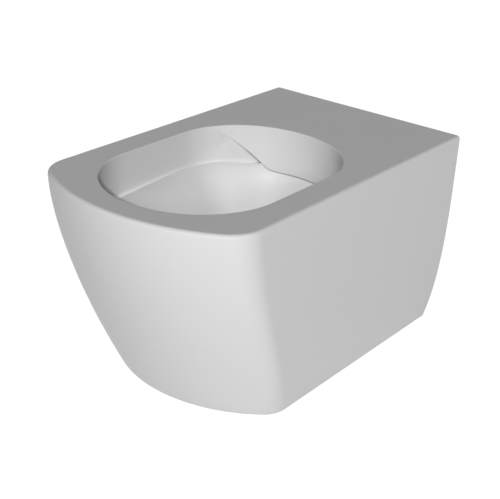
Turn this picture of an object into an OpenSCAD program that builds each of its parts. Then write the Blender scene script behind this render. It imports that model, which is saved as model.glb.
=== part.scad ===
// Wall hung toilet: a skirted, rimless pan with its wall fixing and pipe connection kit.
// Frame: +X is right seen from the front, +Y points into the wall, +Z is up.
// The origin is midway between the two studs, on the wall. All sizes are in millimetres.

/* [Pan body] */
// Overall width of the pan
panWidth = 360; // [345:1:375]
// Projection of the china from its rear face
panLength = 620; // [600:1:630]
// Height from the bottom edge to the deck
panHeight = 330; // [325:1:345]
// Thickness of the skirt
skirtThick = 11; // [8:0.5:13]
// Thickness of the deck
deckThick = 13; // [10:0.5:15]
// Thickness of the plate that the studs clamp
rearThick = 14; // [10:0.5:20]
// Radius of the broad front curve of the deck
frontRadius = 280; // [250:1:320]
// Radius of the two front corners of the deck
cornerRadius = 64; // [50:1:80]
// Radius of the rounded deck edges
edgeRadius = 4; // [2:0.5:5]
// How far each side tucks in at the bottom edge
sideTuck = 24; // [10:1:30]
// How far the front tucks back at the bottom edge
frontTuck = 128; // [90:1:140]

/* [Bowl] */
// Width of the rim on each side of the opening
sideRim = 44.7; // [42:0.1:50]
// Width of the rim in front of the opening
frontRim = 42.3; // [38:0.1:50]
// Length of the opening, front to rear
openLength = 399.2; // [385:0.1:405]
// Thickness of the bowl wall
bowlThick = 9; // [7:0.5:11]
// Depth of the side ledges below the deck
ledgeDepth = 62; // [58:1:66]
// Width of the side ledges
ledgeWidth = 5; // [3:0.5:7]
// Depth of the lowest point of the rear hood below the deck
hoodDepth = 75.5; // [70:0.5:80]
// Thickness of the rear hood
hoodThick = 8; // [6:0.5:9]
// How far the side walls lean out under the rim, towards the rear
sideLean = 13; // [9:0.5:14]
// How far the walls lean in at the front
frontLean = 3; // [1:0.5:4]
// Length over which the lean grows
leanLength = 150; // [120:5:180]
// Distance from the hood back to the rear wall of the water chamber
chamberDepth = 35; // [28:1:40]
// Extra width of the ledge at the bottom of the water chamber
shelfWidth = 24.5; // [18:0.5:26]
// How far the chamber's shelf lies below the side ledges
shelfDrop = 6; // [4:0.5:8]
// Depth of the solid rim above the walls
rimDeep = 10; // [8:0.5:11]

/* [Trapway] */
// Inside radius of the trapway
trapBore = 28; // [26:0.5:29]
// Thickness of the trapway wall
trapThick = 9; // [7:0.5:9]
// Height of water that the trap holds back
waterSeal = 50; // [50:1:56]
// Inside radius of the outlet spigot
spigotBore = 43; // [40:0.5:45]
// Outside radius of the outlet spigot
spigotRadius = 51; // [49:0.5:52]
// Length of the outlet spigot
spigotLength = 87; // [80:1:90]
// Rise of the trapway's crest above the outlet's axis
crestRise = 3; // [0:0.5:6]
// Distance of the bowl's throat from the china's rear face
throatDistance = 322; // [315:1:330]
// Radius of the bend below the throat
throatBend = 38; // [38:0.5:42]
// Straight run of the throat above its bend
throatRun = 15; // [14:0.5:17]
// Distance of the rising leg from the china's rear face
legDistance = 190; // [185:1:195]
// Radius of the bends at both ends of the rising leg
legBend = 45; // [42:0.5:48]
// Distance of the spigot end from the china's rear face
spigotRecess = 25; // [22:1:30]

/* [Wall connections] */
// Distance between the two studs
studSpacing = 180; // [180:1:230]
// Height of the deck above the studs
deckAboveStuds = 80; // [76:1:84]
// Height of the flush inlet above the studs
inletHeight = 35; // [33:1:37]
// Depth of the waste outlet below the studs
outletDrop = 100; // [98:1:102]
// Outside radius of the flush pipe
flushRadius = 22.5; // [20:0.5:24]
// Wall thickness of the flush pipe
flushWall = 2.5; // [2:0.5:4]
// Inside radius of the inlet socket
socketRadius = 27.5; // [26.5:0.5:30]
// Depth of the inlet socket
socketDepth = 40; // [34:1:50]
// Outside radius of the waste pipe
wasteRadius = 45; // [45:0.5:48]
// Wall thickness of the waste connector
wasteWall = 3; // [2.5:0.5:4]
// Length of each pipe inside the wall
pipeInWall = 60; // [50:1:80]
// Length of the waste connector's cup
cupLength = 50; // [46:1:54]
// Length of the waste seal
wasteSealLength = 24; // [20:1:26]
// Length of the flush seal
flushSealLength = 31; // [28:1:32]

/* [Fixings] */
// Radius of the studs where their nuts go
studRadius = 5; // [4:0.5:5]
// Radius of the studs inside the wall
anchorRadius = 6; // [5.5:0.5:7]
// Length of each stud inside the wall
studInWall = 60; // [50:1:80]
// Radius of the stud holes in the china
studHole = 10; // [10:0.5:11]
// Thickness of the sound insulation mat
matThick = 3; // [3:0.5:6]
// Wall thickness of the stud sleeves
sleeveWall = 3; // [2:0.25:3.25]
// Thickness of the washers
washerThick = 2.5; // [2:0.1:3]
// Outside radius of the washers
washerRadius = 16; // [15:0.5:18]
// Width across the flats of the nuts
nutFlats = 17; // [16:0.5:18]
// Height of the nuts
nutHeight = 8; // [7:0.5:10]
// Wall thickness of the nut caps
capWall = 1.8; // [1.2:0.1:2.5]
// Length of stud past its nut
studTail = 5; // [4:0.5:8]
// Distance of the mat's edge from the china's edge
matInset = 6; // [4:0.5:8]
// Thickness of the stud sleeves' collars
flangeThick = 2; // [1.5:0.25:2.5]
// Rise of the flush pipe's stop bead above the pipe
beadRise = 2; // [1:0.25:3]

/* [Clearances] */
// Gap around a stud in its sleeve and its washer
studGap = 0.4; // [0.2:0.05:0.5]
// Gap between a nut and its cap
capGap = 0.3; // [0.1:0.05:0.5]
// Gap between the waste connector and the china around it
cupGap = 5; // [4:0.5:6]
// Gap that the waste seal fills between spigot and cup
sealGap = 3; // [2.5:0.5:4]
// Gap between the mat and a stud's thicker end
matGap = 1; // [0.5:0.25:1.5]

/* [Hidden] */
$fn = 96;
halfWidth = panWidth / 2;
deckZ = deckAboveStuds;
bottomZ = deckZ - panHeight;
chinaY = -matThick;
openHalf = halfWidth - sideRim;
openFront = frontRim - panLength;
openMid = openFront + 0.3405 * openLength;
openNear = openMid - openFront;
openFar = openLength - openNear;
trapOuter = trapBore + trapThick;
inletZ = inletHeight;
outletZ = -outletDrop;
crestZ = outletZ + crestRise;
weirZ = crestZ - trapBore;
dipZ = weirZ - waterSeal;
lowZ = dipZ - trapBore;
throatY = -throatDistance;
throatZ = lowZ + throatBend;
legY = -legDistance;
bowlEndZ = throatZ + throatRun;
bowlDepth = deckZ - bowlEndZ;
spigotY = -spigotRecess - spigotLength;
chamberY = openMid + openFar + sideLean + chamberDepth + bowlThick;
cupInner = spigotRadius + sealGap;
cupOuter = cupInner + wasteWall;
plateHole = cupOuter + cupGap;
passageRadius = flushRadius - 1.5;
plateY = chinaY - rearThick;
sleeveInner = studRadius + studGap;
sleeveOuter = sleeveInner + sleeveWall;
washerY = plateY - flangeThick;
nutY = washerY - washerThick;
nutEndY = nutY - nutHeight;
capInner = nutFlats / 2 / cos(30) + capGap;

function lerp(a, b, k) = a + (b - a) * k;
function clamp01(k) = max(0, min(1, k));
function ease(k) = let (c = clamp01(k)) c * c * (3 - 2 * c);

// Plan of the skirt at t, which is 0 at the deck and 1 at the bottom edge.
// The parts of a plan are half width, front y, arc radius and centre, corner radius and centre, ray centre.
function plan(t) = let (
    a = halfWidth - sideTuck * pow(t, 3.7),
    l = panLength - frontTuck * pow(t, 1.51),
    r = frontRadius * (1 - 0.226 * t),
    c = cornerRadius * (1 + 0.065 * t),
    y = r - l,
    q = y - sqrt(pow(r - c, 2) - pow(a - c, 2))
) [a, l, r, y, c, q, openMid * l / panLength];

// The direction in which a ray from the ray centre sees where the front curve meets the corner.
function frontAngle(p) = let (
    ux = (p[0] - p[4]) / (p[2] - p[4]),
    uy = (p[5] - p[3]) / (p[2] - p[4])
) atan2(p[3] + p[2] * uy - p[6], p[2] * ux);
function sideAngle(p) = atan2(p[5] - p[6], p[0]);
function rearAngle(p, o, y) = atan2(y - p[6], p[0] - o);

// Ray directions over half a turn, from the front to the rear.
function rays(f, s, c) = [
    for (i = [0:9]) lerp(-90, f, i / 10),
    for (i = [0:9]) lerp(f, s, i / 10),
    for (i = [0:9]) lerp(s, 45, i / 10),
    for (i = [0:7]) lerp(45, c, i / 8),
    for (i = [0:7]) lerp(c, 90, i / 7)
];
function planRays(p, o, y) = rays(frontAngle(p), sideAngle(p), rearAngle(p, o, y));

function toCircle(dx, dy, qx, qy, r) = let (m = dx * qx + dy * qy)
    m + sqrt(max(0, m * m - qx * qx - qy * qy + r * r));

// Distance from the ray centre to the plan, moved in by o, with a straight rear edge at y.
function planReach(p, o, y, w) =
    w <= frontAngle(p) ? toCircle(cos(w), sin(w), 0, p[3] - p[6], p[2] - o)
    : w <= sideAngle(p) ? toCircle(cos(w), sin(w), p[0] - p[4], p[5] - p[6], p[4] - o)
    : w <= rearAngle(p, o, y) ? (p[0] - o) / cos(w)
    : (y - p[6]) / sin(w);

// A whole ring from the half that is given.
function whole(h) = concat(h, [for (i = [len(h) - 2:-1:1]) [-h[i][0], h[i][1], h[i][2]]]);

// A ring of the skirt at height z, moved in by o, with its rear edge at y.
function skirtRing(z, o, y) = let (
    p = plan(clamp01((deckZ - edgeRadius - z) / (panHeight - edgeRadius)))
) whole([for (w = planRays(p, o, y)) let (k = planReach(p, o, y, w))
    [k * cos(w), p[6] + k * sin(w), z]]);

// The rounded upper edge of the deck: v is 0 on the side and 90 on top.
function deckRing(v) = skirtRing(deckZ - edgeRadius * (1 - sin(v)), edgeRadius * (1 - cos(v)), 0);

openRays = planRays(plan(0), 0, 0);

function ovalReach(w, a, f, r, nf, nr) = let (n = w < 0 ? nf : nr, b = w < 0 ? f : r)
    pow(pow(abs(cos(w)) / a, n) + pow(abs(sin(w)) / b, n), -1 / n);
function openReach(w) = ovalReach(w, openHalf, openNear, openFar, 1.96, 3.56);

// A ring that follows the opening, moved out by the list off, at the depths in the list dep.
function openRing(off, dep) = whole([for (i = [0:len(openRays) - 1]) let (
    w = openRays[i], k = openReach(w) + off[i]
) [k * cos(w), openMid + k * sin(w), deckZ - dep[i]]]);
function same(v) = [for (w = openRays) v];

// Depth of the hood's lower edge: the hood hangs from the deck around the rear of the opening.
function hoodEdge(w) = w < 40 ? 0 : let (
    d = openHalf - openReach(w) * cos(w) - hoodDepth
) hoodDepth + (d - sqrt(d * d + 36)) / 2;
hoodLow = [for (w = openRays) max(rimDeep, hoodEdge(w))];
hoodOut = [for (h = hoodLow) 0.3 + (hoodThick - 0.3) * clamp01((h - rimDeep) / 12)];

// The side walls lean out towards the rear, and open into the water chamber behind the hood.
function wallOut(w) = let (y = openReach(w) * sin(w))
    lerp(-frontLean, sideLean, clamp01(0.12 + y / leanLength)) + chamberDepth * ease((w - 66) / 20);
wallOuts = [for (w = openRays) wallOut(w)];
roofOuts = [for (i = [0:len(openRays) - 1])
    lerp(0.6 + (wallOuts[i] - 0.6) * 0.25, wallOuts[i], ease((openRays[i] - 40) / 15))];
ledgeIns = [for (w = openRays) wallOut(w) - ledgeWidth - shelfWidth * ease((w - 66) / 20)];
ledgeDeep = [for (w = openRays) ledgeDepth + shelfDrop * ease((w - 58) / 12)];

// The bowl below the ledges: s is 0 at the ledges and 1 at the throat. o moves the ring out.
function bowlMid(s) = lerp(openMid, throatY, pow(s, 0.8));
function bowlReach(w, i, s) = lerp(openReach(w) + ledgeIns[i], trapBore - 0.5,
    pow(s, w < 0 ? 1.7 : lerp(1.7, 1.1, w / 90)));
function bowlRing(s, o, drop) = whole([for (i = [0:len(openRays) - 1]) let (
    w = openRays[i],
    k = bowlReach(w, i, s) + o
) [k * cos(w), bowlMid(s) + k * sin(w), deckZ - lerp(ledgeDeep[i] + 1, bowlDepth, s) - drop]]);

function add(a, b) = [for (i = [0:len(a) - 1]) a[i] + b[i]];

// The whole casting as one run of rings: throat, bowl, hood, deck, skirt, hollow underside.
skin = concat(
    [for (i = [9:-1:0]) bowlRing(i / 9, 0, 0)],
    [openRing(wallOuts, ledgeDeep)],
    [openRing(roofOuts, same(rimDeep + 12))],
    [openRing(add(hoodOut, same(0.3)), [for (h = hoodLow) rimDeep + 0.8 + 3 * clamp01((h - rimDeep) / 12)])],
    [openRing(hoodOut, add(hoodLow, same(0.4)))],
    [openRing(same(0), hoodLow)],
    [for (v = [0:30:90]) openRing(same(edgeRadius * (1 - cos(v))), same(edgeRadius * (1 - sin(v))))],
    [for (v = [90:-30:0]) deckRing(v)],
    [for (t = [0.15, 0.3, 0.45, 0.6, 0.7, 0.8, 0.9, 1]) skirtRing(deckZ - t * panHeight, 0, 0)],
    [for (t = [1, 0.8, 0.6, 0.4, 0.2]) skirtRing(deckZ - t * panHeight, skirtThick, -rearThick)],
    [skirtRing(deckZ - deckThick, skirtThick, -rearThick)],
    [openRing(add(wallOuts, same(bowlThick + 3)), same(deckThick))],
    [openRing(add(wallOuts, same(bowlThick)), add(ledgeDeep, same(bowlThick + 1)))],
    [for (i = [1:7]) bowlRing(i / 7, bowlThick, bowlThick)]
);

module ringSolid(r) {
    n = len(r[0]);
    m = len(r);
    polyhedron(
        points = [for (g = r) for (p = g) p],
        faces = concat(
            [[for (i = [n - 1:-1:0]) i]],
            [for (j = [0:m - 2]) for (i = [0:n - 1]) let (a = j * n + i, b = j * n + (i + 1) % n)
                each [[a, b, a + n], [b, b + n, a + n]]],
            [[for (i = [0:n - 1]) (m - 1) * n + i]]
        ),
        convexity = 12
    );
}

// A cylinder along Y from y0 to y1 at height z.
module alongY(r, y0, y1, z) {
    translate([0, y1, z]) rotate([90, 0, 0]) cylinder(r = r, h = y1 - y0);
}

// A quarter of a bent tube in the YZ plane: its centre is at y, z and it starts at angle a.
module bend(r, y, z, radius, a) {
    translate([0, y, z]) rotate([0, 90, 0]) rotate([0, 0, a])
        rotate_extrude(angle = 90) translate([radius, 0]) circle(r = r);
}

module trapRun(r) {
    translate([0, throatY, throatZ]) cylinder(r = r, h = throatRun - 2);
    bend(r, throatY + throatBend, throatZ, throatBend, 270);
    alongY(r, throatY + throatBend, legY - legBend, lowZ);
    bend(r, legY - legBend, lowZ + legBend, legBend, 0);
    translate([0, legY, lowZ + legBend]) cylinder(r = r, h = crestZ - lowZ - 2 * legBend);
    bend(r, legY + legBend, crestZ - legBend, legBend, 180);
    alongY(r, legY + legBend, spigotY + 7, crestZ);
}

module panBody() {
    difference() {
        union() {
            ringSolid(skin);
            trapRun(trapOuter);
            alongY(spigotRadius, spigotY, -spigotRecess, outletZ);
            alongY(socketRadius + bowlThick, -socketDepth - 6, -rearThick / 2, inletZ);
            alongY(passageRadius + bowlThick, chamberY - bowlThick / 2, -socketDepth, inletZ);
        }
        trapRun(trapBore);
        translate([0, throatY, throatZ + throatRun / 2]) cylinder(r = trapBore, h = throatRun / 2 + 5);
        alongY(spigotBore, spigotY + 6, 1, outletZ);
        alongY(plateHole, -rearThick - 1, 1, outletZ);
        alongY(socketRadius, -socketDepth, 1, inletZ);
        alongY(passageRadius, chamberY - 2 * bowlThick, -socketDepth + 1, inletZ);
        for (x = [-1, 1]) translate([x * studSpacing / 2, 0, 0])
            alongY(studHole, -rearThick - 1, 1, 0);
    }
}

module pan() {
    color("white") translate([0, chinaY, 0]) panBody();
}

// The mat is cut a little smaller than the china's rear face.
module wall_mat() {
    t = [for (i = [0:12]) i / 12];
    edge = [for (k = t) [halfWidth - matInset - sideTuck * pow(k, 3.7),
        lerp(deckZ - matInset, bottomZ + matInset, k)]];
    color("dimgray") difference() {
        rotate([90, 0, 0]) linear_extrude(matThick)
            polygon(concat(edge, [for (i = [12:-1:0]) [-edge[i][0], edge[i][1]]]));
        alongY(plateHole, -matThick - 1, 1, outletZ);
        alongY(socketRadius + 2, -matThick - 1, 1, inletZ);
        for (x = [-1, 1]) translate([x * studSpacing / 2, 0, 0])
            alongY(anchorRadius + matGap, -matThick - 1, 1, 0);
    }
}

// The stud is stepped: its thick end is inside the wall, its thin end runs to just past its nut.
module stud(x) {
    color("silver") translate([x * studSpacing / 2, 0, 0]) union() {
        alongY(studRadius, nutEndY - studTail + 1, 1, 0);
        alongY(anchorRadius, 0, studInWall - 1, 0);
        translate([0, studInWall - 1, 0]) rotate([-90, 0, 0])
            cylinder(r1 = anchorRadius, r2 = anchorRadius - 1, h = 1);
        translate([0, nutEndY - studTail + 1, 0]) rotate([90, 0, 0])
            cylinder(r1 = studRadius, r2 = studRadius - 1, h = 1);
    }
}

module sleeve(x) {
    color("ivory") translate([x * studSpacing / 2, 0, 0]) difference() {
        union() {
            alongY(sleeveOuter, plateY, chinaY, 0);
            alongY(washerRadius - 1, washerY, plateY, 0);
        }
        alongY(sleeveInner, washerY - 1, chinaY + 1, 0);
    }
}

module washer(x) {
    color("silver") translate([x * studSpacing / 2, 0, 0]) difference() {
        alongY(washerRadius, nutY, washerY, 0);
        alongY(studRadius + studGap, nutY - 1, washerY + 1, 0);
    }
}

// The nut's bore is the stud's own radius, because its thread fills the gap.
module nut(x) {
    color("silver") translate([x * studSpacing / 2, 0, 0]) difference() {
        translate([0, nutY, 0]) rotate([90, 0, 0])
            cylinder(r = nutFlats / 2 / cos(30), h = nutHeight, $fn = 6);
        alongY(studRadius, nutEndY - 1, nutY + 1, 0);
    }
}

// The cap is pushed over the nut until it meets the washer. Its nose takes the end of the stud.
module nut_cap(x) {
    noseY = nutEndY - studTail - capGap;
    shoulderY = nutEndY - capGap - capWall;
    color("ivory") translate([x * studSpacing / 2, 0, 0]) difference() {
        union() {
            alongY(capInner + capWall, shoulderY, nutY, 0);
            translate([0, shoulderY, 0]) rotate([90, 0, 0])
                cylinder(r1 = capInner + capWall, r2 = studRadius + capWall, h = shoulderY - noseY + capWall);
        }
        alongY(capInner, nutEndY - capGap, nutY + 1, 0);
        alongY(studRadius + capGap, noseY, nutY, 0);
    }
}

module stud_left() { stud(-1); }
module stud_right() { stud(1); }
module sleeve_left() { sleeve(-1); }
module sleeve_right() { sleeve(1); }
module washer_left() { washer(-1); }
module washer_right() { washer(1); }
module nut_left() { nut(-1); }
module nut_right() { nut(1); }
module nut_cap_left() { nut_cap(-1); }
module nut_cap_right() { nut_cap(1); }

// The flush pipe comes out of the wall and ends just before the socket's floor.
// Its stop bead lies against the flush seal.
module flush_pipe() {
    color("gainsboro") difference() {
        union() {
            alongY(flushRadius, chinaY - socketDepth + 2, pipeInWall, inletZ);
            alongY(flushRadius + beadRise, chinaY - matThick, chinaY, inletZ);
        }
        alongY(flushRadius - flushWall, chinaY - socketDepth + 1, pipeInWall + 1, inletZ);
    }
}

// The flush seal fills the gap between pipe and socket with three lips and a collar.
module flush_seal() {
    rear = chinaY - matThick;
    front = rear - flushSealLength;
    lip = flushSealLength / 8;
    color("black") difference() {
        union() {
            alongY(lerp(flushRadius, socketRadius, 0.7), front, rear, inletZ);
            for (i = [0:2]) alongY(socketRadius, front + lip * (0.5 + i * 2.5), front + lip * (1.5 + i * 2.5), inletZ);
        }
        alongY(flushRadius, front - 1, chinaY, inletZ);
    }
}

// The waste connector: a cup over the spigot, and a pipe that goes into the wall.
module waste_connector() {
    tip = chinaY - spigotRecess;
    color("gainsboro") difference() {
        union() {
            alongY(cupOuter, tip + 1 + wasteWall - cupLength, tip + 1 + wasteWall, outletZ);
            alongY(wasteRadius, tip, pipeInWall, outletZ);
        }
        alongY(cupInner, tip - cupLength, tip + 1, outletZ);
        alongY(wasteRadius - wasteWall, tip, pipeInWall + 1, outletZ);
    }
}

// The waste seal: a ring with two lips between the spigot and the cup.
module waste_seal() {
    tip = chinaY - spigotRecess;
    mid = tip - cupLength / 2;
    half = wasteSealLength / 2;
    color("black") difference() {
        alongY(cupInner, mid - half, mid + half, outletZ);
        alongY(spigotRadius, mid - half - 1, mid + half + 1, outletZ);
        alongY(spigotRadius + sealGap / 2, mid - half / 2, mid + half / 2, outletZ);
    }
}

pan();
wall_mat();
stud_left();
stud_right();
sleeve_left();
sleeve_right();
washer_left();
washer_right();
nut_left();
nut_right();
nut_cap_left();
nut_cap_right();
flush_pipe();
flush_seal();
waste_connector();
waste_seal();
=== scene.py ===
import math

import bmesh
import bpy
from mathutils import Matrix, Vector


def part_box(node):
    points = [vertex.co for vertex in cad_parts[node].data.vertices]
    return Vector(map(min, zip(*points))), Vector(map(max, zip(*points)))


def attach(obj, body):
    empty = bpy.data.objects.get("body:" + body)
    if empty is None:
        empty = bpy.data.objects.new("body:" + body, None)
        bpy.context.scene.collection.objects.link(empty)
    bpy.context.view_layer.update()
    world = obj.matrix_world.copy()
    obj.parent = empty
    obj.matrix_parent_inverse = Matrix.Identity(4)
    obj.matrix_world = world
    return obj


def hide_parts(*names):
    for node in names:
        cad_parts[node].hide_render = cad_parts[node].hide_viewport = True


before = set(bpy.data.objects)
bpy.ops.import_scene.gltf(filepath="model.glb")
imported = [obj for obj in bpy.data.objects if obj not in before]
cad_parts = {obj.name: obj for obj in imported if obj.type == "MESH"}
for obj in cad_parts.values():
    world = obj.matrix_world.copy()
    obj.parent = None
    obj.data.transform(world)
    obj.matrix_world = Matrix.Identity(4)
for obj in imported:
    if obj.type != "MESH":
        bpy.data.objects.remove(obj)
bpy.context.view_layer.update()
mm = 0.001

# the pan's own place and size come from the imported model
panLow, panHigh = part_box("pan")
halfWidth = panHigh[0]
rearY = panHigh[1]
panLength = panHigh[1] - panLow[1]
deckZ = panHigh[2]
panHeight = panHigh[2] - panLow[2]


def lerp(a, b, k):
    return a + (b - a) * k


def clamp01(k):
    return max(0.0, min(1.0, k))


def ease(k):
    k = clamp01(k)
    return k * k * (3 - 2 * k)


def cosd(a):
    return math.cos(math.radians(a))


def sind(a):
    return math.sin(math.radians(a))


def newObject(name, mesh, material):
    data = bpy.data.meshes.new(name)
    mesh.to_mesh(data)
    mesh.free()
    piece = bpy.data.objects.new(name, data)
    bpy.context.scene.collection.objects.link(piece)
    data.materials.append(material)
    return piece


def smooth(piece, angle=32):
    for face in piece.data.polygons:
        face.use_smooth = True
    piece.data.set_sharp_from_angle(angle=math.radians(angle))


# materials: a noise on Object coordinates gives each its bump, and its spread of colour or roughness

def newMaterial(name):
    material = bpy.data.materials.new(name)
    material.use_nodes = True
    nodes = material.node_tree.nodes
    return material, nodes, material.node_tree.links, nodes["Principled BSDF"]


def noiseBump(nodes, links, shader, scale, detail, strength, distance):
    coords = nodes.new("ShaderNodeTexCoord")
    noise = nodes.new("ShaderNodeTexNoise")
    noise.inputs["Scale"].default_value = scale
    noise.inputs["Detail"].default_value = detail
    bump = nodes.new("ShaderNodeBump")
    bump.inputs["Strength"].default_value = strength
    bump.inputs["Distance"].default_value = distance
    links.new(coords.outputs["Object"], noise.inputs["Vector"])
    links.new(noise.outputs["Fac"], bump.inputs["Height"])
    links.new(bump.outputs["Normal"], shader.inputs["Normal"])
    return noise


def noiseColor(nodes, links, shader, noise, dark, light):
    ramp = nodes.new("ShaderNodeValToRGB")
    ramp.color_ramp.elements[0].color = (*dark, 1)
    ramp.color_ramp.elements[1].color = (*light, 1)
    links.new(noise.outputs["Fac"], ramp.inputs["Fac"])
    links.new(ramp.outputs["Color"], shader.inputs["Base Color"])


def noiseRoughness(nodes, links, shader, noise, low, high):
    spread = nodes.new("ShaderNodeMapRange")
    spread.inputs["To Min"].default_value = low
    spread.inputs["To Max"].default_value = high
    links.new(noise.outputs["Fac"], spread.inputs["Value"])
    links.new(spread.outputs["Result"], shader.inputs["Roughness"])


chinaLook = dict(color=(0.86, 0.86, 0.86), roughness=(0.34, 0.40), specular=0.12,
                 wave=dict(scale=9.0, detail=2, strength=0.5, distance=0.00004))


def glazedChina():
    material, nodes, links, shader = newMaterial("glazedChina")
    shader.inputs["Base Color"].default_value = (*chinaLook["color"], 1)
    shader.inputs["Specular IOR Level"].default_value = chinaLook["specular"]
    noise = noiseBump(nodes, links, shader, **chinaLook["wave"])
    noiseRoughness(nodes, links, shader, noise, *chinaLook["roughness"])
    return material


foamLook = dict(dark=(0.10, 0.105, 0.11), light=(0.17, 0.175, 0.18), roughness=0.9,
                cells=dict(scale=900.0, detail=4, strength=0.6, distance=0.0004))


def foamSheet():
    material, nodes, links, shader = newMaterial("foamSheet")
    noise = noiseBump(nodes, links, shader, **foamLook["cells"])
    noiseColor(nodes, links, shader, noise, foamLook["dark"], foamLook["light"])
    shader.inputs["Roughness"].default_value = foamLook["roughness"]
    return material


zincLook = dict(dark=(0.52, 0.53, 0.55), light=(0.70, 0.71, 0.73), roughness=(0.28, 0.42),
                grain=dict(scale=500.0, detail=3, strength=0.2, distance=0.00005))


def zincSteel():
    material, nodes, links, shader = newMaterial("zincSteel")
    shader.inputs["Metallic"].default_value = 1
    noise = noiseBump(nodes, links, shader, **zincLook["grain"])
    noiseColor(nodes, links, shader, noise, zincLook["dark"], zincLook["light"])
    noiseRoughness(nodes, links, shader, noise, *zincLook["roughness"])
    return material


plasticGrain = dict(scale=350.0, detail=2, strength=0.25, distance=0.00006)
plasticLooks = dict(
    white=dict(dark=(0.74, 0.74, 0.72), light=(0.80, 0.80, 0.78), roughness=(0.32, 0.42)),
    pipe=dict(dark=(0.035, 0.035, 0.037), light=(0.05, 0.05, 0.053), roughness=(0.38, 0.5)),
    seal=dict(dark=(0.012, 0.012, 0.012), light=(0.022, 0.022, 0.022), roughness=(0.6, 0.75)),
)


def mouldedPlastic(name, dark, light, roughness):
    material, nodes, links, shader = newMaterial(name)
    noise = noiseBump(nodes, links, shader, **plasticGrain)
    noiseColor(nodes, links, shader, noise, dark, light)
    noiseRoughness(nodes, links, shader, noise, *roughness)
    return material


china = glazedChina()
foam = foamSheet()
zinc = zincSteel()
whitePlastic = mouldedPlastic("whitePlastic", **plasticLooks["white"])
pipePlastic = mouldedPlastic("pipePlastic", **plasticLooks["pipe"])
sealRubber = mouldedPlastic("sealRubber", **plasticLooks["seal"])
print("materials made")


# camera: the photograph's view, from a fit to the pan's outline; focal is in pixels, angles in degrees

photoCamera = dict(azimuth=35.695, elevation=24.299, roll=3.609, focal=1186.4, imageWidth=500, sensor=36,
                   distance=1.79351, across=0.039611, along=0.158209, target=(0, rearY - 0.250, deckZ),
                   farEnd=50)


def makeCamera():
    p = photoCamera
    back = Vector((sind(p["azimuth"]) * cosd(p["elevation"]),
                   -cosd(p["azimuth"]) * cosd(p["elevation"]), sind(p["elevation"])))
    right = Vector((cosd(p["azimuth"]), sind(p["azimuth"]), 0))
    up = back.cross(right)
    turnedRight = cosd(p["roll"]) * right + sind(p["roll"]) * up
    turnedUp = -sind(p["roll"]) * right + cosd(p["roll"]) * up
    place = Vector(p["target"]) - p["across"] * turnedRight - p["along"] * turnedUp + p["distance"] * back
    data = bpy.data.cameras.new("photoView")
    data.sensor_width = p["sensor"]
    data.lens = p["focal"] / p["imageWidth"] * p["sensor"]
    data.clip_end = p["farEnd"]
    camera = bpy.data.objects.new("photoView", data)
    axes = Matrix((turnedRight, turnedUp, back)).transposed().to_4x4()
    camera.matrix_world = Matrix.Translation(place) @ axes
    bpy.context.scene.collection.objects.link(camera)
    bpy.context.scene.camera = camera


makeCamera()
print("camera set")


# pan: one casting, drawn as one closed run of rings. Lengths in these dictionaries end in * mm; a pair such
# as chamberTurn is an angle around the opening where a form starts and the degrees that it takes to grow.

skirt = dict(wall=11 * mm, rearPlate=14 * mm, deck=13 * mm, deckEdge=5.5 * mm, footEdge=1.2 * mm,
             frontRadius=280 * mm, radiusFall=0.226, cornerRadius=60 * mm, cornerFall=17 * mm,
             sideTuck=24 * mm, sideCurve=3.7, frontTuck=128 * mm, frontCurve=1.51)
opening = dict(sideRim=46.9 * mm, frontRim=42.3 * mm, length=399.2 * mm, widest=0.3405, corner=125 * mm,
               rearArc=145 * mm, edge=1.5 * mm)
bowl = dict(wall=9 * mm, ledgeDepth=57 * mm, ledgeFall=8 * mm, ledgeRun=230 * mm, ledgeStart=0.61,
            ledgeWidth=7 * mm, ledgeTilt=5.2 * mm, ledgeRoot=0.1 * mm, lip=0.1 * mm, lipEdge=0.4 * mm,
            slope=(6 * mm, 9 * mm),
            frontRecess=0.6 * mm, recess=4 * mm, recessTurn=(44, 14), recessDrop=2.3 * mm, dropTurn=(41, 14),
            chamber=44 * mm, chamberTurn=(62, 20), shelf=24.5 * mm, shelfDrop=6 * mm, shelfTurn=(61, 12),
            sideCurve=1.7, rearCurve=1.1, centreCurve=0.8)
hood = dict(depth=73 * mm, start=6 * mm, turn=40, blend=6 * mm, wall=8 * mm, wallShare=0.55, edge=0.5 * mm,
            swellOver=12 * mm, lip=3.8 * mm, lipEdge=2 * mm, rimDepth=10 * mm, roofDrop=(26 * mm, 12 * mm),
            roofEdge=3 * mm, roofTurn=(44, 6), roofShare=0.2)
trap = dict(bore=28 * mm, wall=9 * mm, low=-203 * mm, crest=-97 * mm, throatY=-322 * mm, throatBend=38 * mm,
            throatRise=15 * mm, legY=-190 * mm, legBend=45 * mm, spigotBore=43 * mm, spigotRadius=51 * mm,
            spigotEnd=-25 * mm, endEdge=2.5 * mm, spigotRoot=-112 * mm, rootEdge=3 * mm, boreRoot=-106 * mm,
            outletZ=-100 * mm)
turnsPerPart = dict(front=20, corner=20, side=18, flank=18, rear=16)  # points round half the pan
ringCount = dict(bowl=26, skirt=26, inside=12, under=18, bend=12)
cornerGap, flankTurn = 0.4, 45  # degrees

openHalf = halfWidth - opening["sideRim"]
openFront = opening["frontRim"] - panLength
openMid = openFront + opening["widest"] * opening["length"]
openNear = openMid - openFront
openFar = opening["length"] - openNear
throatTop = trap["low"] + trap["throatBend"] + trap["throatRise"]
bowlDepth = deckZ - throatTop


# the skirt's plan at a level: t is 0 below the deck's edge and 1 at the foot

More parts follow.
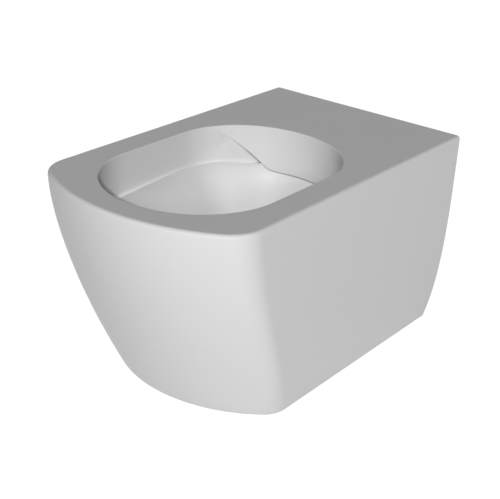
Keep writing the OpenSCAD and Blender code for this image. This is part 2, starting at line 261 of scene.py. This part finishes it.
def planAt(t):
    s = skirt
    a = halfWidth - s["sideTuck"] * t ** s["sideCurve"]
    length = panLength - s["frontTuck"] * t ** s["frontCurve"]
    r = s["frontRadius"] * (1 - s["radiusFall"] * t)
    c = s["cornerRadius"] - s["cornerFall"] * t
    y = r - length
    q = y - math.sqrt((r - c) ** 2 - (a - c) ** 2)
    mid = openMid * length / panLength
    ux, uy = (a - c) / (r - c), (q - y) / (r - c)
    frontAngle = math.degrees(math.atan2(y + r * uy - mid, r * ux))
    sideAngle = math.degrees(math.atan2(q - mid, a))
    return dict(a=a, r=r, y=y, c=c, q=q, mid=mid, front=frontAngle, side=sideAngle)


def rearAngle(plan, inset, rear):
    return math.degrees(math.atan2(rear - plan["mid"], plan["a"] - inset))


def turnAngles(front, side, rear):
    n, gap = turnsPerPart, cornerGap
    marks = [(-90, front - gap, n["front"]), (front - gap, front, 1), (front, side, n["corner"]),
             (side, side + gap, 1), (side + gap, flankTurn, n["side"]), (flankTurn, rear, n["flank"]),
             (rear, 90, n["rear"])]
    angles = [lerp(a, b, i / count) for a, b, count in marks for i in range(count)]
    return angles + [90]


def toCircle(dx, dy, qx, qy, r):
    m = dx * qx + dy * qy
    return m + math.sqrt(max(0, m * m - qx * qx - qy * qy + r * r))


def planReach(plan, inset, rear, w):
    dx, dy = cosd(w), sind(w)
    if w <= plan["front"]:
        return toCircle(dx, dy, 0, plan["y"] - plan["mid"], plan["r"] - inset)
    if w <= plan["side"]:
        return toCircle(dx, dy, plan["a"] - plan["c"], plan["q"] - plan["mid"], plan["c"] - inset)
    if w <= rearAngle(plan, inset, rear):
        return (plan["a"] - inset) / dx
    return (rear - plan["mid"]) / dy


def skirtRing(z, inset, rear):
    plan = planAt(clamp01((deckZ - skirt["deckEdge"] - z) / (panHeight - skirt["deckEdge"])))
    ring = []
    for w in turnAngles(plan["front"], plan["side"], rearAngle(plan, inset, rear)):
        k = planReach(plan, inset, rear, w)
        ring.append((k * cosd(w), plan["mid"] + k * sind(w), z))
    return ring


deckPlan = planAt(0)
openAngles = turnAngles(deckPlan["front"], deckPlan["side"], rearAngle(deckPlan, 0, 0))

# the opening: half an ellipse in front, then a straight side, a corner arc and the rear arc
arcY = openFar - opening["rearArc"]
cornerX = openHalf - opening["corner"]
cornerY = arcY + math.sqrt((opening["rearArc"] - opening["corner"]) ** 2 - cornerX ** 2)
arcGrowth = opening["rearArc"] / (opening["rearArc"] - opening["corner"])
cornerTurn = math.degrees(math.atan2(cornerY, openHalf))
arcTurn = math.degrees(math.atan2(arcY + arcGrowth * (cornerY - arcY), arcGrowth * cornerX))


def openReach(w):
    if w < 0:
        return 1 / math.sqrt((cosd(w) / openHalf) ** 2 + (sind(w) / openNear) ** 2)
    if w < cornerTurn:
        return openHalf / cosd(w)
    if w < arcTurn:
        return toCircle(cosd(w), sind(w), cornerX, cornerY, opening["corner"])
    return toCircle(cosd(w), sind(w), 0, arcY, opening["rearArc"])


def grown(w, turn):
    start, span = turn
    return ease((w - start) / span)


def hoodEdge(w):
    if w < hood["turn"]:
        return 0
    d = openHalf - hood["start"] - openReach(w) * cosd(w) - hood["depth"]
    return hood["depth"] + (d - math.sqrt(d * d + hood["blend"] ** 2)) / 2


def wallOut(w):
    recess = lerp(bowl["frontRecess"], bowl["recess"], grown(w, bowl["recessTurn"]))
    return recess + bowl["chamber"] * grown(w, bowl["chamberTurn"])


def ledgeIn(w):
    return wallOut(w) - bowl["ledgeWidth"] - bowl["shelf"] * grown(w, bowl["chamberTurn"])


def ledgeDeep(w):
    fall = ease(bowl["ledgeStart"] - openReach(w) * sind(w) / bowl["ledgeRun"])
    return (bowl["ledgeDepth"] + bowl["ledgeFall"] * fall + bowl["recessDrop"] * grown(w, bowl["dropTurn"])
            + bowl["shelfDrop"] * grown(w, bowl["shelfTurn"]))


def roundCorner(before, corner, after, radius, steps):
    toBefore, toAfter = Vector(before) - Vector(corner), Vector(after) - Vector(corner)
    if min(toBefore.length, toAfter.length) < 1e-9 or steps == 0:
        return [tuple(corner)] * (steps + 1)
    cosine = max(-1, min(1, toBefore.normalized().dot(toAfter.normalized())))
    half = math.acos(cosine) / 2
    if half > math.radians(89.5) or half < math.radians(1):
        return [tuple(corner)] * (steps + 1)
    reach = min(radius / math.tan(half), 0.48 * toBefore.length, 0.48 * toAfter.length)
    bisector = (toBefore.normalized() + toAfter.normalized()).normalized()
    middle = Vector(corner) + bisector * reach / math.cos(half)
    start = Vector(corner) + toBefore.normalized() * reach - middle
    end = Vector(corner) + toAfter.normalized() * reach - middle
    sweep = math.pi - 2 * half
    return [tuple(middle + (math.sin(sweep * (1 - i / steps)) * start + math.sin(sweep * i / steps) * end)
                  / math.sin(sweep)) for i in range(steps + 1)]


# the opening's section in one direction, from the bowl up to the deck

def openProfile(w):
    k = openReach(w)
    edge = max(hood["rimDepth"], hoodEdge(w))
    swell = clamp01((edge - hood["rimDepth"]) / hood["swellOver"])
    out = wallOut(w)
    hoodOut = min(hood["wall"] * swell, hood["wallShare"] * out)
    roof = lerp(out * hood["roofShare"], out, grown(w, hood["roofTurn"]))
    deep = ledgeDeep(w)
    slopeIn, slopeDown = bowl["slope"]
    corners = [  # distance out from the opening's centre, depth, rounding, steps
        (k + ledgeIn(w) - slopeIn, deep + slopeDown, 0, 0),
        (k + ledgeIn(w), deep + bowl["lip"], bowl["lipEdge"], 4),
        (k + out, deep + bowl["ledgeTilt"], bowl["ledgeRoot"], 2),
        (k + roof, hood["rimDepth"] + lerp(*hood["roofDrop"], swell), hood["roofEdge"], 4),
        (k + hoodOut, hood["rimDepth"] + hood["lip"] * swell, hood["lipEdge"], 3),
        (k + hoodOut, edge, hood["edge"], 6),
        (k, edge, hood["edge"], 6),
        (k, 0, opening["edge"], 8),
        (k + 20 * mm, 0, 0, 0),  # only gives the deck's direction
    ]
    points = []
    for i in range(1, len(corners) - 1):
        x, depth, radius, steps = corners[i]
        points += roundCorner(corners[i - 1][:2], (x, depth), corners[i + 1][:2], radius, steps)
        if i in (2, 6):  # the two tall straights get rings of their own
            after = corners[i + 1]
            start = Vector(points[-1])
            end = Vector(roundCorner((x, depth), after[:2], corners[i + 2][:2], after[2], after[3])[0])
            points += [tuple(start.lerp(end, j / 5)) for j in range(1, 5)]
    return points + [(k + opening["edge"] + 0.5 * mm, 0)]


openProfiles = [openProfile(w) for w in openAngles]


def openRing(index):
    ring = []
    for w, profile in zip(openAngles, openProfiles):
        k, depth = profile[index]
        ring.append((k * cosd(w), openMid + k * sind(w), deckZ - depth))
    return ring


def underRing(out, depth):
    ring = []
    for w in openAngles:
        k = openReach(w) + wallOut(w) + out
        drop = depth if depth else ledgeDeep(w) + out + 1 * mm
        ring.append((k * cosd(w), openMid + k * sind(w), deckZ - drop))
    return ring


def bowlRing(s, out, drop):
    mid = lerp(openMid, trap["throatY"], s ** bowl["centreCurve"])
    ring = []
    for w in openAngles:
        power = bowl["sideCurve"] if w < 0 else lerp(bowl["sideCurve"], bowl["rearCurve"], w / 90)
        k = lerp(openReach(w) + ledgeIn(w), trap["bore"], s ** power) + out
        z = deckZ - lerp(ledgeDeep(w) + 1 * mm, bowlDepth, s) - drop
        ring.append((k * cosd(w), mid + k * sind(w), z))
    return ring


def pipeRing(y, z, tilt, radius):
    ring = []
    for w in openAngles:
        across, along = radius * cosd(w), radius * sind(w)
        ring.append((across, y + along * cosd(tilt), z + along * sind(tilt)))
    return ring


# down the throat, along the low run, up the rising leg and over the weir

def trapPath(radius):
    t = trap
    bends = [  # the bend's centre and radius, first angle, sweep, and the ring's tilt from that angle
        (t["throatY"] + t["throatBend"], t["low"] + t["throatBend"], t["throatBend"], 180, 90, -180),
        (t["legY"] - t["legBend"], t["low"] + t["legBend"], t["legBend"], 270, 90, -180),
        (t["legY"] + t["legBend"], t["crest"] - t["legBend"], t["legBend"], 180, -90, 0),
    ]
    rings = []
    for y, z, bend, first, sweep, tilt in bends:
        for i in range(ringCount["bend"] + 1):
            a = first + sweep * i / ringCount["bend"]
            rings.append(pipeRing(y + bend * cosd(a), z + bend * sind(a), a + tilt, radius))
    return rings


def spigotRings():
    t = trap
    inner, outer, z = t["spigotBore"], t["spigotRadius"], t["outletZ"]
    end, edge = t["spigotEnd"], t["endEdge"]
    rings = [pipeRing(t["boreRoot"], t["crest"], 90, t["bore"]), pipeRing(t["boreRoot"], z, 90, inner)]
    quarter = (0, 30, 60, 90)
    rings += [pipeRing(end - edge * (1 - sind(a)), z, 90, inner + edge * (1 - cosd(a))) for a in quarter]
    rings += [pipeRing(end - edge * (1 - cosd(a)), z, 90, outer - edge * (1 - sind(a))) for a in quarter]
    rings += [pipeRing(t["spigotRoot"] + t["rootEdge"], z, 90, outer)]
    rings += [pipeRing(t["spigotRoot"], z, 90, outer - t["rootEdge"])]
    rings += [pipeRing(t["spigotRoot"], t["crest"], 90, t["bore"] + t["wall"])]
    return rings


def panRings():
    s, n = skirt, ringCount
    edge, foot, bottomZ = s["deckEdge"], s["footEdge"], deckZ - panHeight
    rings = [bowlRing(1 - i / n["bowl"], 0, 0) for i in range(n["bowl"])]
    rings += [openRing(i) for i in range(len(openProfiles[0]))]
    rings += [skirtRing(deckZ, edge + 0.5 * mm, 0)]
    rings += [skirtRing(deckZ - edge * (1 - sind(a)), edge * (1 - cosd(a)), 0)
              for a in (90, 78, 66, 54, 42, 30, 18, 8, 0)]
    rings += [skirtRing(deckZ - edge - 0.6 * mm, 0, 0)]
    rings += [skirtRing(lerp(deckZ - edge, bottomZ + foot, i / n["skirt"]), 0, 0)
              for i in range(1, n["skirt"] + 1)]
    rings += [skirtRing(bottomZ + foot * (1 - sind(a)), foot * (1 - cosd(a)), 0) for a in (30, 60, 90)]
    rings += [skirtRing(bottomZ + foot * (1 - sind(a)), s["wall"] - foot * (1 - cosd(a)), -s["rearPlate"])
              for a in (90, 60, 30, 0)]
    rings += [skirtRing(lerp(bottomZ, deckZ - s["deck"], i / n["inside"]), s["wall"], -s["rearPlate"])
              for i in range(1, n["inside"] + 1)]
    rings += [underRing(bowl["wall"] + 3 * mm, s["deck"]), underRing(bowl["wall"], None)]
    rings += [bowlRing(i / n["under"], bowl["wall"], bowl["wall"]) for i in range(2, n["under"])]
    rings += trapPath(trap["bore"] + trap["wall"])
    rings += list(reversed(spigotRings()))
    rings += list(reversed(trapPath(trap["bore"])))
    return [[(x, y + rearY, z) for x, y, z in half + [(-a, b, c) for a, b, c in reversed(half[1:-1])]]
            for half in rings]


def ringSkin(rings, closed):
    mesh = bmesh.new()
    turn = mesh.verts.layers.int.new("turn")
    bmesh.ops.create_circle(mesh, segments=len(rings[0]), radius=1)
    for i, vert in enumerate(mesh.verts):
        vert[turn] = i
        vert.co = rings[0][i]
    edges = list(mesh.edges)
    for ring in rings[1:] + ([rings[0]] if closed else []):
        made = bmesh.ops.extrude_edge_only(mesh, edges=edges)["geom"]
        fresh = {item for item in made if isinstance(item, bmesh.types.BMVert)}
        for vert in fresh:
            vert.co = ring[vert[turn]]
        edges = [item for item in made
                 if isinstance(item, bmesh.types.BMEdge) and fresh.issuperset(item.verts)]
    bmesh.ops.remove_doubles(mesh, verts=mesh.verts, dist=1e-7)
    bmesh.ops.recalc_face_normals(mesh, faces=mesh.faces)
    return mesh


def combine(piece, other, operation):
    modifier = piece.modifiers.new("combine", "BOOLEAN")
    modifier.operation = operation
    modifier.object = other
    modifier.solver = "MANIFOLD"
    with bpy.context.temp_override(object=piece, active_object=piece, selected_objects=[piece]):
        bpy.ops.object.modifier_apply(modifier=modifier.name)
    bpy.data.objects.remove(other)


def turnedMesh(outline, x, z, closed=True, steps=96):
    mesh = bmesh.new()
    points = [mesh.verts.new((x + r, y, z)) for r, y in outline]
    pairs = list(zip(points, points[1:])) + ([(points[-1], points[0])] if closed else [])
    edges = [mesh.edges.new(pair) for pair in pairs]
    bmesh.ops.spin(mesh, geom=points + edges, cent=(x, 0, z), axis=(0, 1, 0), dvec=(0, 0, 0),
                   angle=2 * math.pi, steps=steps, use_merge=True)
    bmesh.ops.remove_doubles(mesh, verts=mesh.verts, dist=1e-7)
    bmesh.ops.recalc_face_normals(mesh, faces=mesh.faces)
    return mesh


def plug(outline, x, z):
    closedOutline = [(0, outline[0][1])] + outline + [(0, outline[-1][1])]
    return newObject("plug", turnedMesh(closedOutline, x, z, closed=False), china)


wallSide = dict(wasteHole=62 * mm, outletZ=-100 * mm, inletZ=35 * mm, socketRadius=27.5 * mm,
                socketDepth=40 * mm, passageRadius=21 * mm, passageReach=18 * mm, chamberRear=121.5 * mm,
                shoulder=4 * mm, shoulderSoft=2 * mm, studX=90 * mm, studHole=10 * mm, chamfer=1 * mm)


def plateHole(radius, x, z):
    c, front = wallSide["chamfer"], rearY - skirt["rearPlate"]
    return plug([(radius + 2 * c, front - c), (radius, front + c), (radius, rearY - c),
                 (radius + 2 * c, rearY + c)], x, z)


def makePan():
    w, wall, c = wallSide, bowl["wall"], wallSide["chamfer"]
    pan = newObject("pan_china", ringSkin(panRings(), True), china)
    print("pan skin:", len(pan.data.polygons), "faces")
    chamberEnd, socketEnd = rearY - w["chamberRear"], rearY - w["socketDepth"]
    bossOut, bossIn, soft = w["socketRadius"] + wall, w["passageRadius"] + wall, w["shoulderSoft"]
    combine(pan, plug([(bossIn, chamberEnd - wall / 2), (bossIn, socketEnd - wall),
                       (bossOut - soft, socketEnd - w["shoulder"] - soft),
                       (bossOut, socketEnd - w["shoulder"]), (bossOut, rearY - skirt["rearPlate"] / 2)],
                      0, w["inletZ"]), "UNION")
    combine(pan, plug([(w["passageRadius"], chamberEnd - w["passageReach"]), (w["passageRadius"], socketEnd),
                       (w["socketRadius"], socketEnd), (w["socketRadius"], rearY - c),
                       (w["socketRadius"] + 2 * c, rearY + c)], 0, w["inletZ"]), "DIFFERENCE")
    combine(pan, plateHole(w["wasteHole"], 0, w["outletZ"]), "DIFFERENCE")
    combine(pan, plateHole(w["studHole"], -w["studX"], 0), "DIFFERENCE")
    combine(pan, plateHole(w["studHole"], w["studX"], 0), "DIFFERENCE")
    smooth(pan)
    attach(pan, "root")
    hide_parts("pan")
    print("pan made:", len(pan.data.polygons), "faces")


makePan()


# wall kit: turned pieces on the studs and pipes. An outline's corners are radius, y, rounding

def softOutline(corners):
    points, count = [], len(corners)
    for i in range(count):
        r, y, soft = corners[i]
        if soft:
            points += roundCorner(corners[i - 1][:2], (r, y), corners[(i + 1) % count][:2], soft, 4)
        else:
            points.append((r, y))
    return points


def kitPiece(name, node, mesh, material, angle=35):
    piece = newObject(name, mesh, material)
    smooth(piece, angle)
    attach(piece, "root")
    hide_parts(node)


studLook = dict(turns=36, stepsPerPitch=8, nutPitch=1.5 * mm, wallPitch=1.75 * mm, threadDepth=0.61,
                flat=0.125, flank=0.3125, shank=4.9 * mm, play=0.04 * mm, threadEnd=-15 * mm,
                runOut=0.6 * mm, fade=2 * mm, fadeStart=0.35, point=1.2 * mm, pointSlope=0.9)


def threadReach(y, turn, start, end, crest, pitch):
    s = studLook
    root = crest - s["threadDepth"] * pitch
    phase = (y / pitch + turn) % 1
    ridge = clamp01((phase - s["flat"]) / s["flank"]) * clamp01((1 - s["flat"] - phase) / s["flank"])
    toEnd = min(y - start, end - y)
    fade = clamp01(toEnd / s["fade"] + s["fadeStart"])
    point = crest - max(0, s["point"] - toEnd) * s["pointSlope"]
    return min(root + (crest - root) * ridge * fade, point)


# the thin end with its nut's thread, a plain shank, then the thicker end in the wall

def studRings(x, low, high, step, thin, thick):
    s, count = studLook, studLook["turns"]

    def ring(y, reaches):
        turned = [(reach, 360 * i / count) for i, reach in enumerate(reaches)]
        return [(x + reach * cosd(a), y, reach * sind(a)) for reach, a in turned]

    def plain(y, reach):
        return ring(y, [reach] * count)

    def thread(start, end, crest, pitch):
        steps = math.ceil((end - start) / pitch * s["stepsPerPitch"])
        levels = [lerp(start, end, i / steps) for i in range(steps + 1)]
        return [ring(y, [threadReach(y, j / count, start, end, crest, pitch) for j in range(count)])
                for y in levels]

    return ([plain(low, 0)] + thread(low, s["threadEnd"], thin - s["play"], s["nutPitch"])
            + [plain(s["threadEnd"] + s["runOut"], s["shank"]), plain(step, s["shank"])]
            + [plain(step, thick - s["point"])]
            + thread(step + s["runOut"], high, thick, s["wallPitch"]) + [plain(high, 0)])


nutLook = dict(turns=72, flats=17 * mm, facet=0.97, facetRise=0.577, boreEdge=0.8 * mm, seam=0.01 * mm)


def nutMesh(x, low, high, bore):
    n, edge = nutLook, nutLook["boreEdge"]
    turns = [360 * i / n["turns"] for i in range(n["turns"])]
    facet = n["flats"] / 2 * n["facet"]
    hexagon = [n["flats"] / 2 / cosd(a % 60 - 30) for a in turns]
    cut = [max(0, reach - facet) * n["facetRise"] + n["seam"] for reach in hexagon]

    def ring(reaches, levels):
        return [(x + reach * cosd(a), y, reach * sind(a)) for a, reach, y in zip(turns, reaches, levels)]

    def plain(reach, y):
        return ring([reach] * len(turns), [y] * len(turns))

    rings = [plain(bore, low + edge), plain(bore + edge, low), plain(facet, low),
             ring(hexagon, [low + rise for rise in cut]), ring(hexagon, [high - rise for rise in cut]),
             plain(facet, high), plain(bore + edge, high), plain(bore, high - edge)]
    return ringSkin(rings, True)


fixing = dict(bore=5 * mm, play=5.4 * mm, sleeve=8.4 * mm, collar=2 * mm, capInner=10.115 * mm,
              capWall=1.8 * mm, noseInner=5.3 * mm, noseWall=1.5 * mm, roofGap=0.3 * mm)


def makeFixing(side):
    f = fixing
    low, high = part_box("stud_" + side)
    x = (low[0] + high[0]) / 2
    thick = (high[0] - low[0]) / 2
    kitPiece("stud_thread_" + side, "stud_" + side,
             ringSkin(studRings(x, low[1], high[1], 0, f["bore"], thick), False), zinc, 50)

    low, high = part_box("sleeve_" + side)
    collar, collarY = (high[0] - low[0]) / 2, low[1] + f["collar"]
    outline = softOutline([(f["play"], low[1], 0.4 * mm), (collar, low[1], 0.5 * mm),
                           (collar, collarY, 0.5 * mm), (f["sleeve"], collarY, 0.6 * mm),
                           (f["sleeve"], high[1], 0.6 * mm), (f["play"], high[1], 0.3 * mm)])
    kitPiece("stud_sleeve_" + side, "sleeve_" + side, turnedMesh(outline, x, 0), whitePlastic)

    low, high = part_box("washer_" + side)
    rim = (high[0] - low[0]) / 2
    outline = softOutline([(f["play"], low[1], 0.3 * mm), (rim, low[1], 0.7 * mm), (rim, high[1], 0.25 * mm),
                           (f["play"], high[1], 0.15 * mm)])
    kitPiece("stud_washer_" + side, "washer_" + side, turnedMesh(outline, x, 0), zinc)

    low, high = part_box("nut_" + side)
    nutFace, nutRear = low[1], high[1]
    kitPiece("stud_nut_" + side, "nut_" + side, nutMesh(x, nutFace, nutRear, f["bore"]), zinc, 20)

    low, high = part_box("nut_cap_" + side)
    outer, nose, roof = (high[0] - low[0]) / 2, f["noseInner"], nutFace - f["roofGap"]
    outline = softOutline([(0, low[1] + f["capWall"], 0), (nose, low[1] + f["capWall"], 1 * mm),
                           (nose, roof, 0.5 * mm), (f["capInner"], roof, 0.5 * mm),
                           (f["capInner"], nutRear, 0.3 * mm), (outer, nutRear, 0.4 * mm),
                           (outer, roof - f["capWall"], 2.2 * mm), (nose + f["noseWall"], low[1], 2.4 * mm),
                           (0, low[1], 0)])
    kitPiece("nut_cover_" + side, "nut_cap_" + side,
             turnedMesh(outline, x, 0, closed=False, steps=72), whitePlastic)


makeFixing("left")
makeFixing("right")
print("fixings made")

flushWay = dict(pipe=22.5 * mm, bore=20 * mm, beadFront=-6 * mm, leadIn=2.5 * mm, tip=1 * mm,
                sealBody=25.8 * mm, sealTip=0.8 * mm, lips=3, lipPitch=2.5)


def makeFlushPipe():
    f = flushWay
    low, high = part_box("flush_pipe")
    bead = (high[0] - low[0]) / 2
    outline = softOutline([(f["bore"], low[1], 0.4 * mm), (f["pipe"] - f["tip"], low[1], 0.4 * mm),
                           (f["pipe"], low[1] + f["leadIn"], 0.6 * mm), (f["pipe"], f["beadFront"], 0.4 * mm),
                           (bead, f["beadFront"], 1.1 * mm), (bead, rearY, 1.1 * mm),
                           (f["pipe"], rearY, 0.4 * mm), (f["pipe"], high[1], 0.5 * mm),
                           (f["bore"], high[1], 0.4 * mm)])
    kitPiece("flush_tube", "flush_pipe", turnedMesh(outline, 0, wallSide["inletZ"]), pipePlastic)


def makeFlushSeal():
    f = flushWay
    low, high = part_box("flush_seal")
    lipReach, lip = (high[0] - low[0]) / 2, (high[1] - low[1]) / 8
    corners = [(f["pipe"], low[1], 0.5 * mm), (f["sealBody"] - f["sealTip"], low[1], 0.6 * mm)]
    for i in range(f["lips"]):
        start = low[1] + lip * (0.5 + f["lipPitch"] * i)
        corners += [(f["sealBody"], start, 0.4 * mm), (lipReach, start + 0.35 * lip, 0.9 * mm),
                    (lipReach, start + 0.75 * lip, 0.9 * mm), (f["sealBody"], start + 1.1 * lip, 0.4 * mm)]
    corners += [(f["sealBody"], high[1], 0.6 * mm), (f["pipe"], high[1], 0.5 * mm)]
    kitPiece("flush_lip_seal", "flush_seal",
             turnedMesh(softOutline(corners), 0, wallSide["inletZ"]), sealRubber)


wasteWay = dict(cupInner=54 * mm, cupShoulder=-24 * mm, cupFloor=-27 * mm, pipe=45 * mm, bore=42 * mm,
                spigot=51 * mm, groove=52.5 * mm, grooveInset=6 * mm, turns=128)


def makeWasteConnector():
    c = wasteWay
    low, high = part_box("waste_connector")
    cup = (high[0] - low[0]) / 2
    outline = softOutline([(c["cupInner"], low[1], 0.9 * mm), (cup, low[1], 1.1 * mm),
                           (cup, c["cupShoulder"], 3.2 * mm), (c["pipe"], c["cupShoulder"], 2 * mm),
                           (c["pipe"], high[1], 0.6 * mm), (c["bore"], high[1], 0.5 * mm),
                           (c["bore"], c["cupFloor"], 0.8 * mm), (c["cupInner"], c["cupFloor"], 1.5 * mm)])
    kitPiece("waste_cup", "waste_connector",
             turnedMesh(outline, 0, wallSide["outletZ"], steps=c["turns"]), pipePlastic)


def makeWasteSeal():
    c = wasteWay
    low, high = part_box("waste_seal")
    lipFront, lipRear = low[1] + c["grooveInset"], high[1] - c["grooveInset"]
    outline = softOutline([(c["spigot"], low[1], 1 * mm), (c["cupInner"], low[1], 0.6 * mm),
                           (c["cupInner"], high[1], 0.6 * mm), (c["spigot"], high[1], 1 * mm),
                           (c["spigot"], lipRear, 0.6 * mm), (c["groove"], lipRear, 0.4 * mm),
                           (c["groove"], lipFront, 0.4 * mm), (c["spigot"], lipFront, 0.6 * mm)])
    kitPiece("waste_lip_seal", "waste_seal",
             turnedMesh(outline, 0, wallSide["outletZ"], steps=c["turns"]), sealRubber)


makeFlushPipe()
makeFlushSeal()
makeWasteConnector()
makeWasteSeal()
print("pipes and seals made")

matLook = dict(inset=6 * mm, softEdge=0.7 * mm, pipeHole=29.5 * mm, studHole=7 * mm, levels=24)


def makeMat():
    m, w = matLook, wallSide
    low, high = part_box("wall_mat")

    def outline(inset, y):
        right = []
        for i in range(m["levels"] + 1):
            t = i / m["levels"]
            x = halfWidth - m["inset"] - inset - skirt["sideTuck"] * t ** skirt["sideCurve"]
            right.append((x, y, lerp(high[2] - inset, low[2] + inset, t)))
        return right + [(-x, a, z) for x, a, z in reversed(right)]

    soft = m["softEdge"]
    rings = [outline(soft * (1 - sind(a)), low[1] + soft * (1 - cosd(a))) for a in (0, 30, 60, 90)]
    rings += [outline(soft * (1 - sind(a)), high[1] - soft * (1 - cosd(a))) for a in (90, 60, 30, 0)]
    mesh = ringSkin(rings, False)
    bmesh.ops.holes_fill(mesh, edges=[edge for edge in mesh.edges if edge.is_boundary], sides=0)
    bmesh.ops.recalc_face_normals(mesh, faces=mesh.faces)
    mat = newObject("insulation_mat", mesh, foam)
    for x, z, radius in ((0, w["outletZ"], w["wasteHole"]), (0, w["inletZ"], m["pipeHole"]),
                         (-w["studX"], 0, m["studHole"]), (w["studX"], 0, m["studHole"])):
        combine(mat, plug([(radius, low[1] - mm), (radius, high[1] + mm)], x, z), "DIFFERENCE")
    smooth(mat)
    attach(mat, "root")
    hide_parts("wall_mat")


makeMat()
print("mat made")


# floor, background and lamps. The floor and the world glow only for camera, glossy and transmission rays

setting = dict(floorBelowDeck=0.400, floorHalf=12.0, floorColor=0.8, floorRoughness=0.9, floorSpecular=0.1,
               floorGlow=0.88, backdrop=1.0, ambient=0.0)


def cameraRays(nodes, links, strength, other):
    path = nodes.new("ShaderNodeLightPath")
    seen = nodes.new("ShaderNodeMath")
    seen.operation = "MAXIMUM"
    links.new(path.outputs["Is Camera Ray"], seen.inputs[0])
    links.new(path.outputs["Is Glossy Ray"], seen.inputs[1])
    both = nodes.new("ShaderNodeMath")
    both.operation = "MAXIMUM"
    links.new(seen.outputs[0], both.inputs[0])
    links.new(path.outputs["Is Transmission Ray"], both.inputs[1])
    level = nodes.new("ShaderNodeMapRange")
    level.inputs["To Min"].default_value = other
    level.inputs["To Max"].default_value = strength
    links.new(both.outputs[0], level.inputs["Value"])
    return level.outputs["Result"]


def makeFloor():
    mesh = bmesh.new()
    bmesh.ops.create_grid(mesh, x_segments=8, y_segments=8, size=setting["floorHalf"])
    bmesh.ops.translate(mesh, verts=mesh.verts, vec=(0, 0, deckZ - setting["floorBelowDeck"]))
    material, nodes, links, shader = newMaterial("paleFloor")
    shader.inputs["Base Color"].default_value = (*[setting["floorColor"]] * 3, 1)
    shader.inputs["Roughness"].default_value = setting["floorRoughness"]
    shader.inputs["Specular IOR Level"].default_value = setting["floorSpecular"]
    shader.inputs["Emission Color"].default_value = (1, 1, 1, 1)
    glow = cameraRays(nodes, links, setting["floorGlow"], 0.0)
    links.new(glow, shader.inputs["Emission Strength"])
    floor = newObject("floor", mesh, material)


def makeWorld():
    world = bpy.data.worlds.new("studio")
    world.use_nodes = True
    nodes, links = world.node_tree.nodes, world.node_tree.links
    background = nodes["Background"]
    background.inputs["Color"].default_value = (1, 1, 1, 1)
    strength = cameraRays(nodes, links, setting["backdrop"], setting["ambient"])
    links.new(strength, background.inputs["Strength"])
    bpy.context.scene.world = world


# the key lamp stands in the camera's direction, so the opening's rims throw no shadow that the camera sees
lampAim = (0, -0.3, -0.05)
lampPlan = dict(
    key=dict(azimuth=35.7, elevation=24.3, distance=9.0, size=0.4, power=474.0),
    fill=dict(azimuth=45, elevation=22, distance=9.0, size=1.6, power=81.0),
    side=dict(azimuth=60, elevation=22, distance=9.0, size=1.6, power=35.0),
)


def makeLamp(name, azimuth, elevation, distance, size, power):
    data = bpy.data.lights.new(name, "AREA")
    data.shape = "DISK"
    data.size = size
    data.energy = power
    lamp = bpy.data.objects.new(name, data)
    away = Vector((sind(azimuth) * cosd(elevation), -cosd(azimuth) * cosd(elevation), sind(elevation)))
    turned = away.to_track_quat("Z", "Y").to_matrix().to_4x4()
    lamp.matrix_world = Matrix.Translation(Vector(lampAim) + away * distance) @ turned
    bpy.context.scene.collection.objects.link(lamp)


makeFloor()
makeWorld()
for name, plan in lampPlan.items():
    makeLamp(name, **plan)
bpy.context.scene.view_settings.view_transform = "Standard"
print("setting made")
